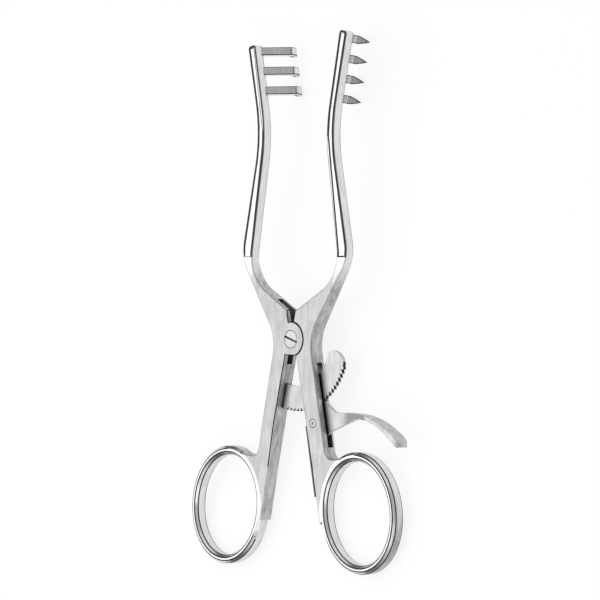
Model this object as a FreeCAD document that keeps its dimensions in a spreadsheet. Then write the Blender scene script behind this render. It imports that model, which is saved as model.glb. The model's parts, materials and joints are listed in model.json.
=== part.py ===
"""Self retaining retractor with 3 x 4 sharp prongs, as a parametric document in millimetres.

Every sketch is drawn in one drawing frame: X across the instrument, Y from the pivot towards
the prongs, Z out of the screw face, the pivot at X = Y = 0 and Z = 0 at half the joint's
thickness. The finished instrument is then laid down as it lies on a table: screw face up,
carried by its finger rings and its hindmost prong tips.
"""
import FreeCAD, Part
import math
import os

import Sketcher

SIZES = {
    # Arms, from the bend to the prongs
    "arm_reach": 80.0,            # pivot to the tip of the four-prong arm, along Y
    "tip_half_gap": 17.15,        # centre plane to the middle of that tip
    "arm_lean": 10.9,             # outward lean of the last stretch, degrees
    "tip_width": 2.8,
    "tip_round": 0.9,
    "bend_height": 53.8,
    "bend_width": 2.3,
    "bend_radius": 42.0,
    "shoulder_out_x": 19.75,
    "shoulder_out_y": 21.4,
    "shoulder_out_radius": 10.0,
    "shoulder_in_x": 16.5,
    "shoulder_in_y": 16.4,
    "shoulder_in_radius": 10.5,
    # Joint
    "joint_thickness": 4.5,
    "notch_x": 1.65,
    "notch_y": 7.6,
    "notch_foot_x": 0.95,
    "notch_foot_y": 4.25,
    "boss_radius": 4.5,
    "boss_foot": 4.15,
    "boss_clearance": 0.15,
    "tongue_thickness": 1.5,
    "tongue_radius": 4.3,
    "side_clearance": 0.05,
    "fork_depth": 5.2,
    "fork_foot": 6.4,
    "fork_top": 10.3,
    "fork_run_out": 1.8,
    # Handles
    "waist_x": 5.9,
    "waist_y": 0.6,
    "waist_radius": 11.3,
    "handle_top_x": 2.05,
    "handle_knee_x": 5.8,
    "handle_knee_y": 21.0,
    "handle_end_x": 11.0,
    "handle_end_y": 47.8,
    "crotch_x": 12.3,
    "crotch_y": 31.1,
    "crotch_radius": 2.4,
    "slotted_handle_extra": 0.85,
    # Thickness of the forging along its length
    "arm_thickness": 2.85,
    "arm_foot": 21.4,             # where the shoulders' taper meets the arms
    "joint_flat_top": 6.0,
    "joint_flat_foot": 24.0,
    "ring_thickness": 4.0,
    "edge_round": 0.45,           # arms only: the rest is ground flat
    # Finger rings
    "ring_centre_x": 24.2,
    "ring_centre_y": 44.35,
    "ring_half_length": 14.6,
    "ring_half_width": 12.25,
    "ring_tilt": 10.0,
    "ring_wire": 2.3,
    "ring_bevel": 0.75,
    # Prongs
    "prong_pitch": 5.3,
    "prong_width": 2.15,
    "prong_top_gap": 1.75,
    "prong_depth": 10.95,
    "prong_rake": 5.5,            # lean of the claws towards the handles, degrees
    "left_prongs": 3,
    "right_prongs": 4,
    # Pivot screw
    "screw_radius": 1.5,
    "screw_head_radius": 2.4,
    "screw_head_height": 0.8,
    "thread_radius": 1.3,
    "running_clearance": 0.05,
    "seat_clearance": 0.01,
    "driver_slot_width": 0.5,
    "driver_slot_depth": 0.45,
    "driver_slot_turn": 162.0,
    # Ratchet bar
    "bar_thickness": 1.0,
    "bar_behind": 0.45,           # middle plane of the forging to the middle of the bar
    "bar_inner_radius": 12.2,
    "bar_outer_radius": 18.8,
    "bar_end_height": 2.7,
    "bar_nose_radius": 4.0,
    "foot_rise": 0.75,
    "tooth_depth": 0.8,
    "tooth_step": 3.9,
    "tooth_start": -20.0,
    "tooth_count": 21,
    "tenon_length": 2.6,
    "tenon_shoulder": 0.5,
    "rivet_radius": 0.6,
    "rivet_spacing": 2.8,
    # Slotted handle, lever and pin
    "slot_width": 1.7,
    "slot_wall": 6.97,            # pivot to the wall that the slot opens in, square to it
    "slot_lean": 11.8,
    "slot_top_room": 1.8,
    "slot_foot_room": 7.2,
    "slot_reach": 7.5,
    "pin_stand": 4.47,            # teeth to the pin's middle, away from the pivot
    "pin_angle": 68.84,
    "pin_radius": 1.2,
    "pin_mark": 0.3,
    "pawl_clearance": 0.2,
    "pawl_angle": 55.8,
    "lever_root_length": 9.6,     # the thin part, from the pin's middle
    "lever_neck_length": 9.0,     # where it widens into the pad
    "lever_length": 30.7,
    "pad_width": 4.2,
    "pad_radius": 26.4,
    # Leaf spring and its screw
    "leaf_thickness": 0.4,
    "leaf_width": 3.0,
    "leaf_length": 18.6,
    "leaf_lap": 0.5,              # pin's middle to the free end, down the handle
    "leaf_screw_inset": 3.8,
    "leaf_screw_radius": 0.7,
    "leaf_screw_head": 1.05,
    "leaf_screw_length": 1.9,
    "leaf_screw_crown": 0.3,
    "screw_bevel": 0.12,
}

PLANES = {"XY": "XY_Plane", "XZ": "XZ_Plane", "YZ": "YZ_Plane"}
Z_AXIS = FreeCAD.Vector(0, 0, 1)
THROUGH = "{arm_reach} * 2"
PIN_RADIUS = "({bar_outer_radius} + {pin_stand})"
PIN_X = PIN_RADIUS + " * cos({pin_angle})"
PIN_Y = PIN_RADIUS + " * sin({pin_angle})"
LEAF_START = f"({PIN_Y} + {{leaf_lap}})"
LEAF_SCREW = f"({LEAF_START} + {{leaf_length}} - {{leaf_screw_inset}})"
FOOT_HEIGHT = "(({bar_inner_radius} + {bar_outer_radius}) / 2 - {foot_rise})"
BAR_WIDTH = "({bar_outer_radius} - {bar_inner_radius})"
TENON_WIDTH = f"({BAR_WIDTH} - 2 * {{tenon_shoulder}})"


def make_sheet(doc):
    """The driving dimensions, one cell each, with an alias."""
    sheet = doc.addObject("Spreadsheet::Sheet", "Sizes")
    for row, (alias, value) in enumerate(SIZES.items(), start=1):
        sheet.set(f"A{row}", alias)
        sheet.set(f"B{row}", str(value))
        sheet.setAlias(f"B{row}", alias)
    doc.recompute()
    return sheet


def named(expression):
    """An expression over the sheet's aliases, as other objects write it."""
    for alias in sorted(SIZES, key=len, reverse=True):
        expression = expression.replace("{" + alias + "}", f"Sizes.{alias}")
    return expression


def place(x="0", y="0", z="0", yaw="0", roll="0"):
    """A placement's expression: tilted about X, turned about Z, then shifted."""
    shift = f"create(<<vector>>; {x}; {y}; {z})"
    turn = f"create(<<rotation>>; {yaw}; 0; {roll})"
    return f"create(<<placement>>; {shift}; {turn})"


class Drawing:
    """A sketch on one of a body's planes whose points are held by expressions."""

    def __init__(self, body, label, plane="XY", offset=None):
        self.sketch = body.newObject("Sketcher::SketchObject", label)
        support = next(f for f in body.Origin.OriginFeatures if f.Role == PLANES[plane])
        self.sketch.AttachmentSupport = [(support, "")]
        self.sketch.MapMode = "FlatFace"
        if offset:
            self.sketch.setExpression("AttachmentOffset", named(offset))
        self.sketch.Document.recompute()

    def value(self, expression):
        """The number that an expression has now."""
        return float(self.sketch.evalExpression(named(expression)))

    def bind(self, constraint, expression):
        """Adds a dimension and ties it to the sheet."""
        index = self.sketch.addConstraint(constraint)
        name = f"size_{index}"
        self.sketch.renameConstraint(index, name)
        self.sketch.setExpression(f"Constraints.{name}", named(expression))

    def hold(self, geometry, point, x, y):
        """Ties a point of the geometry to X and Y expressions."""
        self.bind(Sketcher.Constraint("DistanceX", -1, 1, geometry, point, self.value(x)), x)
        self.bind(Sketcher.Constraint("DistanceY", -1, 1, geometry, point, self.value(y)), y)

    def circle(self, x, y, radius):
        """A circle held at its centre."""
        centre = FreeCAD.Vector(self.value(x), self.value(y), 0)
        index = self.sketch.addGeometry(Part.Circle(centre, Z_AXIS, self.value(radius)))
        self.hold(index, 3, x, y)
        self.bind(Sketcher.Constraint("Radius", index, self.value(radius)), radius)
        return index

    def line(self, start, end):
        """A straight line held at both ends."""
        ends = [FreeCAD.Vector(self.value(x), self.value(y), 0) for x, y in (start, end)]
        index = self.sketch.addGeometry(Part.LineSegment(*ends))
        self.hold(index, 1, *start)
        self.hold(index, 2, *end)

    def outline(self, corners):
        """A closed outline of straight runs. Each corner is (x, y) or (x, y, rounding radius)."""
        points = [FreeCAD.Vector(self.value(c[0]), self.value(c[1]), 0) for c in corners]
        radii = [self.value(c[2]) if len(c) > 2 else 0.0 for c in corners]
        count = len(corners)
        tangents = []
        for i, point in enumerate(points):
            back = (points[i - 1] - point).normalize()
            ahead = (points[(i + 1) % count] - point).normalize()
            half = back.getAngle(ahead) / 2
            reach = radii[i] / math.tan(half)
            tangents.append((point + back * reach, point + ahead * reach, half, back, ahead))
        lines = []
        for i in range(count):
            start = tangents[i][1]
            end = tangents[(i + 1) % count][0]
            lines.append(self.sketch.addGeometry(Part.LineSegment(start, end)))
        for i, corner in enumerate(corners):
            before, after = lines[i - 1], lines[i]
            if not radii[i]:
                self.sketch.addConstraint(Sketcher.Constraint("Coincident", before, 2, after, 1))
                self.hold(after, 1, corner[0], corner[1])
                continue
            enter, leave, half, back, ahead = tangents[i]
            middle = points[i] + (back + ahead).normalize() * (radii[i] / math.sin(half))
            turns_left = (points[i] - enter).cross(leave - points[i]).z > 0
            first, last = (enter, leave) if turns_left else (leave, enter)
            angles = [math.atan2((p - middle).y, (p - middle).x) for p in (first, last)]
            circle = Part.Circle(middle, Z_AXIS, radii[i])
            arc = self.sketch.addGeometry(Part.ArcOfCircle(circle, angles[0], angles[1]))
            in_end, out_end = (1, 2) if turns_left else (2, 1)
            self.sketch.addConstraint(Sketcher.Constraint("Tangent", before, 2, arc, in_end))
            self.sketch.addConstraint(Sketcher.Constraint("Tangent", arc, out_end, after, 1))
            self.bind(Sketcher.Constraint("Radius", arc, radii[i]), corner[2])
            knot = self.sketch.addGeometry(Part.Point(points[i]), True)
            self.sketch.addConstraint(Sketcher.Constraint("PointOnObject", knot, 1, before))
            self.sketch.addConstraint(Sketcher.Constraint("PointOnObject", knot, 1, after))
            self.hold(knot, 1, corner[0], corner[1])

    def ellipse(self, x, y, along, across, angle):
        """An ellipse held at its centre, by both half axes and its long axis' direction."""
        centre = FreeCAD.Vector(self.value(x), self.value(y), 0)
        lean = math.radians(self.value(angle))
        long_axis = FreeCAD.Vector(math.cos(lean), math.sin(lean), 0) * self.value(along)
        short_axis = FreeCAD.Vector(-math.sin(lean), math.cos(lean), 0) * self.value(across)
        ellipse = Part.Ellipse(centre + long_axis, centre + short_axis, centre)
        index = self.sketch.addGeometry(ellipse)
        self.sketch.exposeInternalGeometry(index)
        self.hold(index, 3, x, y)
        major = Sketcher.Constraint("Distance", index + 1, 2 * self.value(along))
        self.bind(major, f"2 * ({along})")
        minor = Sketcher.Constraint("Distance", index + 2, 2 * self.value(across))
        self.bind(minor, f"2 * ({across})")
        turn = Sketcher.Constraint("Angle", index + 1, lean)
        self.bind(turn, f"({angle}) * 1 deg")
        return index


class Piece:
    """One physical piece: a body with its features added in order."""

    def __init__(self, doc, label):
        self.doc = doc
        self.body = doc.addObject("PartDesign::Body", label)
        self.body.Label = label

    def draw(self, label, plane="XY", offset=None):
        """A new drawing in this body."""
        return Drawing(self.body, label, plane, offset)

    def feature(self, kind, label, drawing, **values):
        """A feature made from a drawing; text values are expressions."""
        item = self.body.newObject(f"PartDesign::{kind}", label)
        item.Profile = drawing.sketch
        for name, value in values.items():
            if isinstance(value, str) and "{" in value:
                item.setExpression(name, named(value))
            else:
                setattr(item, name, value)
        self.doc.recompute()
        return item

    def pad(self, label, drawing, length, **values):
        """Material added to both sides of the drawing's plane."""
        values.setdefault("SideType", "Symmetric")
        return self.feature("Pad", label, drawing, Length=length, **values)

    def cut(self, label, drawing, length, **values):
        """Material removed on both sides of the drawing's plane."""
        values.setdefault("SideType", "Symmetric")
        before = self.body.Shape.Volume
        item = self.feature("Pocket", label, drawing, Length=length, **values)
        self.expect_less_than(before, label)
        return item

    def expect_less_than(self, before, label):
        """Stops the build where a cut has missed the solid."""
        if self.body.Shape.Volume >= before:
            raise RuntimeError(f"{label} removed nothing from {self.body.Label}")

    def turned(self, label, drawing, kind="Revolution"):
        """A full turn of the drawing about its own vertical axis."""
        before = self.body.Shape.Volume if kind == "Groove" else 0
        item = self.body.newObject(f"PartDesign::{kind}", label)
        item.Profile = drawing.sketch
        item.ReferenceAxis = (drawing.sketch, ["V_Axis"])
        item.Angle = 360
        self.doc.recompute()
        if kind == "Groove":
            self.expect_less_than(before, label)
        return item

    def ease_edges(self, label, chosen, kind="Chamfer", **size):
        """A bevel or a fillet on the edges that the test picks."""
        base = self.body.Tip
        names = [f"Edge{i}" for i, e in enumerate(base.Shape.Edges, start=1) if chosen(e, base.Shape)]
        item = self.body.newObject(f"PartDesign::{kind}", label)
        item.Base = (base, names)
        for name, expression in size.items():
            item.setExpression(name, named(expression))
        self.doc.recompute()
        return item


def middle_of(edge):
    """The point half way along an edge."""
    return edge.valueAt((edge.FirstParameter + edge.LastParameter) / 2)


def joins_wall_and_face(edge, shape):
    """True where an edge lies between an upright wall and a front or back face."""
    point = middle_of(edge)
    tilts = []
    for face in shape.ancestorsOfType(edge, Part.Face):
        u, v = face.Surface.parameter(point)
        tilts.append(abs(face.normalAt(u, v).z))
    return len(tilts) == 2 and min(tilts) < 0.3 and max(tilts) > 0.7


def on_side(side, expression):
    """An X expression mirrored for the left half."""
    return expression if side > 0 else f"-({expression})"


def ring_point(turn):
    """A point on the finger ring's middle line, by its angle from the ring's upper end."""
    along = f"{{ring_half_length}} * cos({turn})"
    across = f"{{ring_half_width}} * sin({turn})"
    x = f"{{ring_centre_x}} - {along} * sin({{ring_tilt}}) - {across} * cos({{ring_tilt}})"
    y = f"-{{ring_centre_y}} + {along} * cos({{ring_tilt}}) - {across} * sin({{ring_tilt}})"
    return x, y


def half_outline(side):
    """The forging's outline in plan, from the tip down its outer side and up its inner side."""
    drop = "" if side > 0 else " - {prong_pitch} / 2"
    extra = " + {slotted_handle_extra}" if side > 0 else ""
    reach = f"({{arm_reach}}{drop})"
    tip = f"({{tip_half_gap}} - ({{arm_reach}} - {reach}) * tan({{arm_lean}}))"
    bend = "({tip_half_gap} - ({arm_reach} - {bend_height}) * tan({arm_lean}))"
    across = "{tip_width} / 2 * cos({arm_lean})"
    along = "{tip_width} / 2 * sin({arm_lean})"
    ring_x, ring_y = ring_point("15")
    outer = [
        (f"{tip} + {across}", f"{reach} - {along}", "{tip_round}"),
        (f"{bend} + {{bend_width}} / 2", "{bend_height}", "{bend_radius}"),
        ("{shoulder_out_x}", "{shoulder_out_y}", "{shoulder_out_radius}"),
        ("{waist_x}" + extra, "{waist_y}", "{waist_radius}"),
        ("{crotch_x}" + extra, "-{crotch_y}", "{crotch_radius}"),
        (ring_x, f"{ring_y} + {{ring_wire}} / 4"),
    ]
    inside_ring = [ring_point(turn) for turn in ("40", "65", "90")]
    inner = [
        ("{handle_end_x}", "-{handle_end_y}"),
        ("{handle_knee_x}", "-{handle_knee_y}", "{waist_radius}"),
        ("{handle_top_x}", "-{boss_foot}"),
        ("{notch_foot_x}", "{notch_foot_y}"),
        ("{notch_x}", "{notch_y}"),
        ("{shoulder_in_x}", "{shoulder_in_y}", "{shoulder_in_radius}"),
        (f"{bend} - {{bend_width}} / 2", "{bend_height}", "{bend_radius}"),
        (f"{tip} - {across}", f"{reach} + {along}", "{tip_round}"),
    ]
    return [(on_side(side, c[0]),) + c[1:] for c in outer + inside_ring + inner]


def thin_the_forging(piece):
    """Cuts the forging's thickness: slim arms, a full joint and slightly thinner rings."""
    beyond = "{arm_reach} + {tip_width}"
    below = "-{ring_centre_y} - {ring_half_length} - {ring_thickness}"
    top = "{joint_thickness}"
    for face, sign in (("front", ""), ("back", "-")):
        waste = piece.draw(f"thickness_{face}", "YZ")
        heights = [
            (beyond, "{arm_thickness} / 2"),
            ("{arm_foot}", "{arm_thickness} / 2"),
            ("{joint_flat_top}", "{joint_thickness} / 2"),
            ("{joint_flat_top}", top),
            (beyond, top),
        ]
        waste.outline([(c[0], f"{sign}({c[1]})") + c[2:] for c in heights])
        rings = [
            ("-{joint_flat_foot}", "{joint_thickness} / 2"),
            ("-{crotch_y} - {ring_wire}", "{ring_thickness} / 2", "{bend_radius}"),
            (below, "{ring_thickness} / 2"),
            (below, top),
            ("-{joint_flat_foot}", top),
        ]
        waste.outline([(c[0], f"{sign}({c[1]})") + c[2:] for c in rings])
        piece.cut(f"thin_{face}", waste, "{arm_reach} * 2")


def add_ring(piece, side):
    """The finger ring: a rounded bar swept round an oval."""
    path = piece.draw("ring_path")
    centre_x = on_side(side, "{ring_centre_x}")
    lean = "-90 + {ring_tilt}" if side > 0 else "-90 - {ring_tilt}"
    path.ellipse(centre_x, "-{ring_centre_y}", "{ring_half_length}", "{ring_half_width}", lean)
    end_x = f"({{ring_centre_x}} + {{ring_half_length}} * sin({{ring_tilt}}))"
    end_y = "(-{ring_centre_y} - {ring_half_length} * cos({ring_tilt}))"
    section = piece.draw("ring_section", offset=place(
        on_side(side, end_x), end_y, yaw=lean, roll="90"
    ))
    wide, high, bevel = "{ring_wire} / 2", "{ring_thickness} / 2", "{ring_bevel}"
    quarter = [(wide, f"{high} - {bevel}"), (f"{wide} - {bevel}", high)]
    half = quarter + [(f"-({x})", y) for x, y in reversed(quarter)]
    section.outline(half + [(x, f"-({y})") for x, y in reversed(half)])
    item = piece.body.newObject("PartDesign::AdditivePipe", "finger_ring")
    item.Profile = section.sketch
    item.Spine = (path.sketch, ["Edge1"])
    item.Mode = "Frenet"
    piece.doc.recompute()


def add_prongs(piece, side, count):
    """The claws under the arm's tip: one is drawn and sharpened, the rest repeat it."""
    drop = "0" if side > 0 else "{prong_pitch} / 2"
    along = f"({drop} + {{prong_top_gap}})"
    x = f"({{tip_half_gap}} - {along} * sin({{arm_lean}}))"
    y = f"({{arm_reach}} - {along} * cos({{arm_lean}}))"
    yaw = "-{arm_lean}" if side > 0 else "180 + {arm_lean}"
    rake = "{prong_rake}" if side > 0 else "-{prong_rake}"
    at_root = place(on_side(side, x), y, yaw=yaw, roll=f"90 - {rake}")
    claw = piece.draw("claw_side", offset=at_root)
    depth = "{prong_depth}"
    claw.outline([
        ("0.2 * {tip_width}", "-0.3 * {arm_thickness}"),
        ("-0.45 * {tip_width}", "-0.15 * {arm_thickness}"),
        (f"-0.71 * {depth}", f"-0.877 * {depth}", "{prong_width}"),
        (f"-0.128 * {depth}", f"-{depth}"),
        (f"-0.475 * {depth}", f"-0.813 * {depth}", "0.4 * {prong_width}"),
    ])
    pad = piece.pad("claw", claw, "{prong_width}")
    below = f"1.1 * {depth}"
    fall = f"{below} * sin({{prong_rake}})"
    under_claw = place(
        on_side(side, f"({x} - {fall} * sin({{arm_lean}}))"),
        f"{y} - {fall} * cos({{arm_lean}})",
        f"-{below} * cos({{prong_rake}})",
        yaw=yaw,
        roll=f"-({rake})",
    )
    point = piece.draw("claw_point", offset=under_claw)
    for sign in ("", "-"):
        edge = f"{sign}0.52 * {{prong_width}}"
        point.outline([
            (f"-0.42 * {depth}", edge),
            (f"-0.115 * {depth}", f"{sign}0.03 * {{prong_width}}"),
            (f"-0.115 * {depth}", edge),
        ])
    before = piece.body.Shape.Volume
    sharpen = piece.feature("Pocket", "sharpen", point, Length="0.36 * {prong_depth}", Reversed=True)
    piece.expect_less_than(before, "sharpen")
    lean = on_side(-side, "{arm_lean}")
    along_arm = piece.draw("prong_line", offset=place(on_side(side, x), y, yaw=lean))
    along_arm.line(("0", "0"), ("0", "-{prong_pitch}"))
    row = piece.body.newObject("PartDesign::LinearPattern", "prong_row")
    row.Originals = [pad, sharpen]
    row.Direction = (along_arm.sketch, ["V_Axis"])
    row.Reversed = True
    row.Mode = "Spacing"
    row.setExpression("Offset", named("{prong_pitch}"))
    row.setExpression("Occurrences", named("{" + count + "}"))
    piece.body.Tip = row
    piece.doc.recompute()


def make_half(doc, label, side, count):
    """What both forgings share: outline, thickness, rounded edges, ring and prongs."""
    piece = Piece(doc, label)
    plan = piece.draw("plan")
    plan.outline(half_outline(side))
    piece.pad("blank", plan, "{joint_thickness}")
    thin_the_forging(piece)
    arm_foot = SIZES["arm_foot"]

    def on_arm(edge, shape):
        return middle_of(edge).y > arm_foot and joins_wall_and_face(edge, shape)

    piece.ease_edges("soft_edges", on_arm, "Fillet", Radius="{edge_round}")
    add_ring(piece, side)
    add_prongs(piece, side, count)
    return piece


def slab(piece, label, corners, thickness):
    """Cuts a slab out of the middle of the thickness."""
    drawing = piece.draw(label + "_outline")
    drawing.outline(corners)
    piece.cut(label, drawing, thickness)


def drill(piece, label, x, y, radius, length=THROUGH):
    """A round hole square to the drawing plane, to both sides of it."""
    drawing = piece.draw(label + "_circle")
    drawing.circle(x, y, radius)
    piece.cut(label, drawing, length)


def counterbore(piece, label, radius, depth):
    """A round pocket from the front face."""
    drawing = piece.draw(label + "_circle", offset=place(z="{joint_thickness} / 2"))
    drawing.circle("0", "0", radius)
    piece.cut(label, drawing, depth, SideType="One side")


def leaf_frame():
    """The leaf screw's seat on the slotted handle: X runs up the wall, Y leaves the metal."""
    lean = "atan(({handle_end_x} - {handle_knee_x}) / ({handle_end_y} - {handle_knee_y}))"
    x = f"{{handle_knee_x}} + ({LEAF_SCREW} - {{handle_knee_y}}) * tan({lean})"
    return place(x, f"-{LEAF_SCREW}", yaw=f"90 deg + {lean}")


def foot_frame(z="0"):
    """The middle of the ratchet bar's foot: X runs down the left handle's wall."""
    lean = "atan(({handle_knee_x} - {handle_top_x}) / ({handle_knee_y} - {boss_foot}))"
    x = f"-({{handle_top_x}} + ({FOOT_HEIGHT} - {{boss_foot}}) * tan({lean}))"
    return place(x, f"-{FOOT_HEIGHT}", z, yaw=f"-90 deg - {lean}")


def box_corners(left, right, low, high):
    """The corners of a rectangle."""
    return [(right, high), (left, high), (left, low), (right, low)]


def make_left_half(doc):
    """The three-prong half with the joint's two cheeks and the ratchet bar's mortise."""
    piece = make_half(doc, "left_half", -1, "left_prongs")
    boss = piece.draw("boss_circle")
    boss.circle("0", "0", "{boss_radius}")
    piece.pad("boss", boss, "{joint_thickness}")
    slab(piece, "boss_flat", box_corners(
        "-{handle_top_x}", "{boss_radius} * 2", "-{boss_radius} * 1.5", "-{boss_foot}"
    ), THROUGH)
    slab(piece, "fork", [
        ("{boss_radius} * 2", "{fork_top}"),
        ("-{fork_depth} - {fork_run_out}", "{fork_top}"),
        ("-{fork_depth}", "{boss_radius}"),
        ("-{fork_depth}", "-{fork_foot}"),
        ("{boss_radius} * 2", "-{fork_foot}"),
    ], "{tongue_thickness} + 2 * {side_clearance}")
    counterbore(piece, "head_seat", "{screw_head_radius} + 2 * {seat_clearance}",
                "{screw_head_height} + {seat_clearance}")
    shank = piece.draw("shank_circle", "XY")
    shank.circle("0", "0", "{screw_radius} + 2 * {seat_clearance}")
    piece.cut("shank_hole", shank, THROUGH, SideType="One side", Reversed=True)
    drill(piece, "thread_hole", "0", "0", "{thread_radius} + {seat_clearance}")
    mortise = piece.draw("mortise_outline", offset=foot_frame("-{bar_behind}"))
    half = f"({TENON_WIDTH} / 2 + {{seat_clearance}})"
    mortise.outline(box_corners(f"-{half}", half, "-{tenon_length} - {seat_clearance}", "1"))
    piece.cut("mortise", mortise, "{bar_thickness} + 2 * {seat_clearance}")
    rivets = piece.draw("rivet_circles", offset=foot_frame())
    for sign in ("", "-"):
        rivets.circle(f"{sign}{{rivet_spacing}} / 2", "-{tenon_length} / 2",
                      "{rivet_radius} + {seat_clearance}")
    piece.cut("rivet_holes", rivets, THROUGH)
    return piece


def slot_distance(radius):
    """How far down the slotted wall a point lies that is a radius away from the pivot."""
    return f"sqrt({radius} ^ 2 - {{slot_wall}} ^ 2)"


def make_right_half(doc):
    """The four-prong half with the joint's tongue and the slotted handle."""
    piece = make_half(doc, "right_half", 1, "right_prongs")
    room = "{boss_radius} + {boss_clearance}"
    for face, sign in (("front", ""), ("back", "-")):
        height = f"{sign}({{tongue_thickness}} / 2)"
        relief = piece.draw(f"relief_{face}_circle", offset=place(z=height))
        relief.circle("0", "0", room)
        piece.cut(f"relief_{face}", relief, "{joint_thickness}", SideType="One side",
                  Reversed=face == "front")
    tongue = piece.draw("tongue_circle")
    tongue.circle("0", "0", "{tongue_radius}")
    piece.pad("tongue", tongue, "{tongue_thickness}")
    root = piece.draw("tongue_root_outline")
    root.outline(box_corners("0", "{fork_depth}", "-{tongue_radius}", "{tongue_radius}"))
    piece.pad("tongue_root", root, "{tongue_thickness}")
    drill(piece, "screw_bore", "0", "0", "{screw_radius} + {running_clearance}")
    top = slot_distance("({bar_inner_radius} - {slot_top_room})")
    foot = slot_distance(f"({PIN_RADIUS} + {{slot_foot_room}})")
    across, down = "cos({slot_lean})", "sin({slot_lean})"
    corners = []
    for out, along in (("1.5", top), ("-{slot_reach}", top), ("-{slot_reach}", foot), ("1.5", foot)):
        x = f"({{slot_wall}} + {out}) * {across} + {along} * {down}"
        y = f"({{slot_wall}} + {out}) * {down} - {along} * {across}"
        corners.append((x, y))
    slot = piece.draw("handle_slot_outline", offset=place(z="-{bar_behind}"))
    slot.outline(corners)
    piece.cut("handle_slot", slot, "{slot_width}")
    drill(piece, "pin_hole", PIN_X, f"-{PIN_Y}", "{pin_radius} + {seat_clearance}")
    bore = piece.draw("leaf_screw_outline", offset=leaf_frame())
    bore.outline(box_corners(
        "0", "{leaf_screw_radius} + {seat_clearance}", "-{leaf_screw_length} - 0.1", "0.5"
    ))
    piece.turned("leaf_screw_hole", bore, "Groove")
    return piece


def bevelled_foot(x, y):
    """The lower outer corner of a turned section, with its small bevel."""
    return [(f"{x} - {{screw_bevel}}", y), (x, f"{y} + {{screw_bevel}}")]


def bevelled_head(x, y):
    """The upper outer corner of a turned section, with its small bevel."""
    return [(x, f"{y} - {{screw_bevel}}"), (f"{x} - {{screw_bevel}}", y)]


def make_pivot_screw(doc):
    """The joint's screw: a flush slotted head, a plain shank and the threaded end."""
    piece = Piece(doc, "pivot_screw")
    top = "{joint_thickness} / 2"
    profile = piece.draw("screw_section", "XZ")
    seat = "{joint_thickness} / 2 - {screw_head_height}"
    step = "-{tongue_thickness} / 2 - {side_clearance}"
    profile.outline([
        ("0", top),
        ("0", "-{joint_thickness} / 2"),
        *bevelled_foot("{thread_radius}", "-{joint_thickness} / 2"),
        ("{thread_radius}", step),
        ("{screw_radius}", step),
        ("{screw_radius}", seat),
        ("{screw_head_radius}", seat),
        *bevelled_head("{screw_head_radius}", top),
    ])
    piece.turned("screw", profile)
    slot = piece.draw("driver_slot_outline", offset=place(z=top, yaw="{driver_slot_turn}"))
    half, width = "{screw_head_radius} * 1.2", "{driver_slot_width} / 2"
    slot.outline(box_corners(f"-{half}", half, f"-{width}", width))
    piece.cut("driver_slot", slot, "{driver_slot_depth}", SideType="One side")
    return piece


def make_ratchet_bar(doc):
    """The toothed bar: a flat ring sector about the pivot with a tenon at its foot."""
    piece = Piece(doc, "ratchet_bar")
    ring = piece.draw("bar_circles", offset=place(z="-{bar_behind}"))
    ring.circle("0", "0", "{bar_outer_radius}")
    ring.circle("0", "0", "{bar_inner_radius}")
    piece.pad("bar_ring", ring, "{bar_thickness}")
    far = "({bar_outer_radius} * 1.4)"
    lean = "atan(({handle_knee_x} - {handle_top_x}) / ({handle_knee_y} - {boss_foot}))"
    wall = "-({handle_top_x} + (%s - {boss_foot}) * tan(" + lean + "))"
    slab(piece, "bar_sector", [
        (far, "-{bar_end_height}"),
        (far, far),
        (f"-{far}", far),
        (f"-{far}", f"-{far}"),
        (wall % far, f"-{far}"),
        (wall % "{bar_end_height}", "-{bar_end_height}"),
    ], THROUGH)
    nose = f"min({{bar_nose_radius}}; 0.61 * {BAR_WIDTH})"
    for name, radius, near in (
        ("bar_nose_outer", nose, "bar_outer_radius"),
        ("bar_nose_inner", f"{nose} * 0.4", "bar_inner_radius"),
    ):
        piece.ease_edges(name, end_corner(near), "Fillet", Radius=radius)
    tenon = piece.draw("tenon_outline", offset=foot_frame("-{bar_behind}"))
    half = f"{TENON_WIDTH} / 2"
    tenon.outline(box_corners(f"-{half}", half, "-{tenon_length}", "0.5"))
    piece.pad("tenon", tenon, "{bar_thickness}")
    cut_teeth(piece)
    rivets = piece.draw("rivet_circles", offset=foot_frame())
    for sign in ("", "-"):
        rivets.circle(f"{sign}{{rivet_spacing}} / 2", "-{tenon_length} / 2",
                      "{rivet_radius} + {seat_clearance}")
    piece.cut("rivet_holes", rivets, THROUGH)
    return piece


def end_corner(radius_alias):
    """A test for the upright edge where the bar's end meets one of its arcs."""
    radius = SIZES[radius_alias]

    def test(edge, shape):
        point = middle_of(edge)
        upright = abs(edge.tangentAt(edge.FirstParameter).z) > 0.99
        on_arc = abs(math.hypot(point.x, point.y) - radius) < 0.01
        return upright and on_arc and abs(point.y + SIZES["bar_end_height"]) < 0.01
    return test


def cut_teeth(piece):
    """Saw teeth along the outer edge: steep towards the free end, sloping the other way."""
    start, end = "{tooth_start}", "({tooth_start} - 0.93 * {tooth_step})"
    over, root = "({bar_outer_radius} + 0.25)", "({bar_outer_radius} - {tooth_depth})"
    gap = piece.draw("tooth_gap_outline")
    gap.outline([
        (f"{root} * cos({start} - 0.1 * {{tooth_step}})", f"{root} * sin({start} - 0.1 * {{tooth_step}})"),
        (f"{over} * cos({start})", f"{over} * sin({start})"),
        (f"{over} * cos({end})", f"{over} * sin({end})"),
    ])
    first = piece.cut("tooth_gap", gap, THROUGH)
    row = piece.body.newObject("PartDesign::PolarPattern", "teeth")
    row.Originals = [first]
    row.Axis = (gap.sketch, ["N_Axis"])
    row.Mode = "Spacing"
    row.Reversed = True
    row.setExpression("Offset", named("{tooth_step} * 1 deg"))
    row.setExpression("Occurrences", named("{tooth_count}"))
    piece.body.Tip = row
    piece.doc.recompute()


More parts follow.
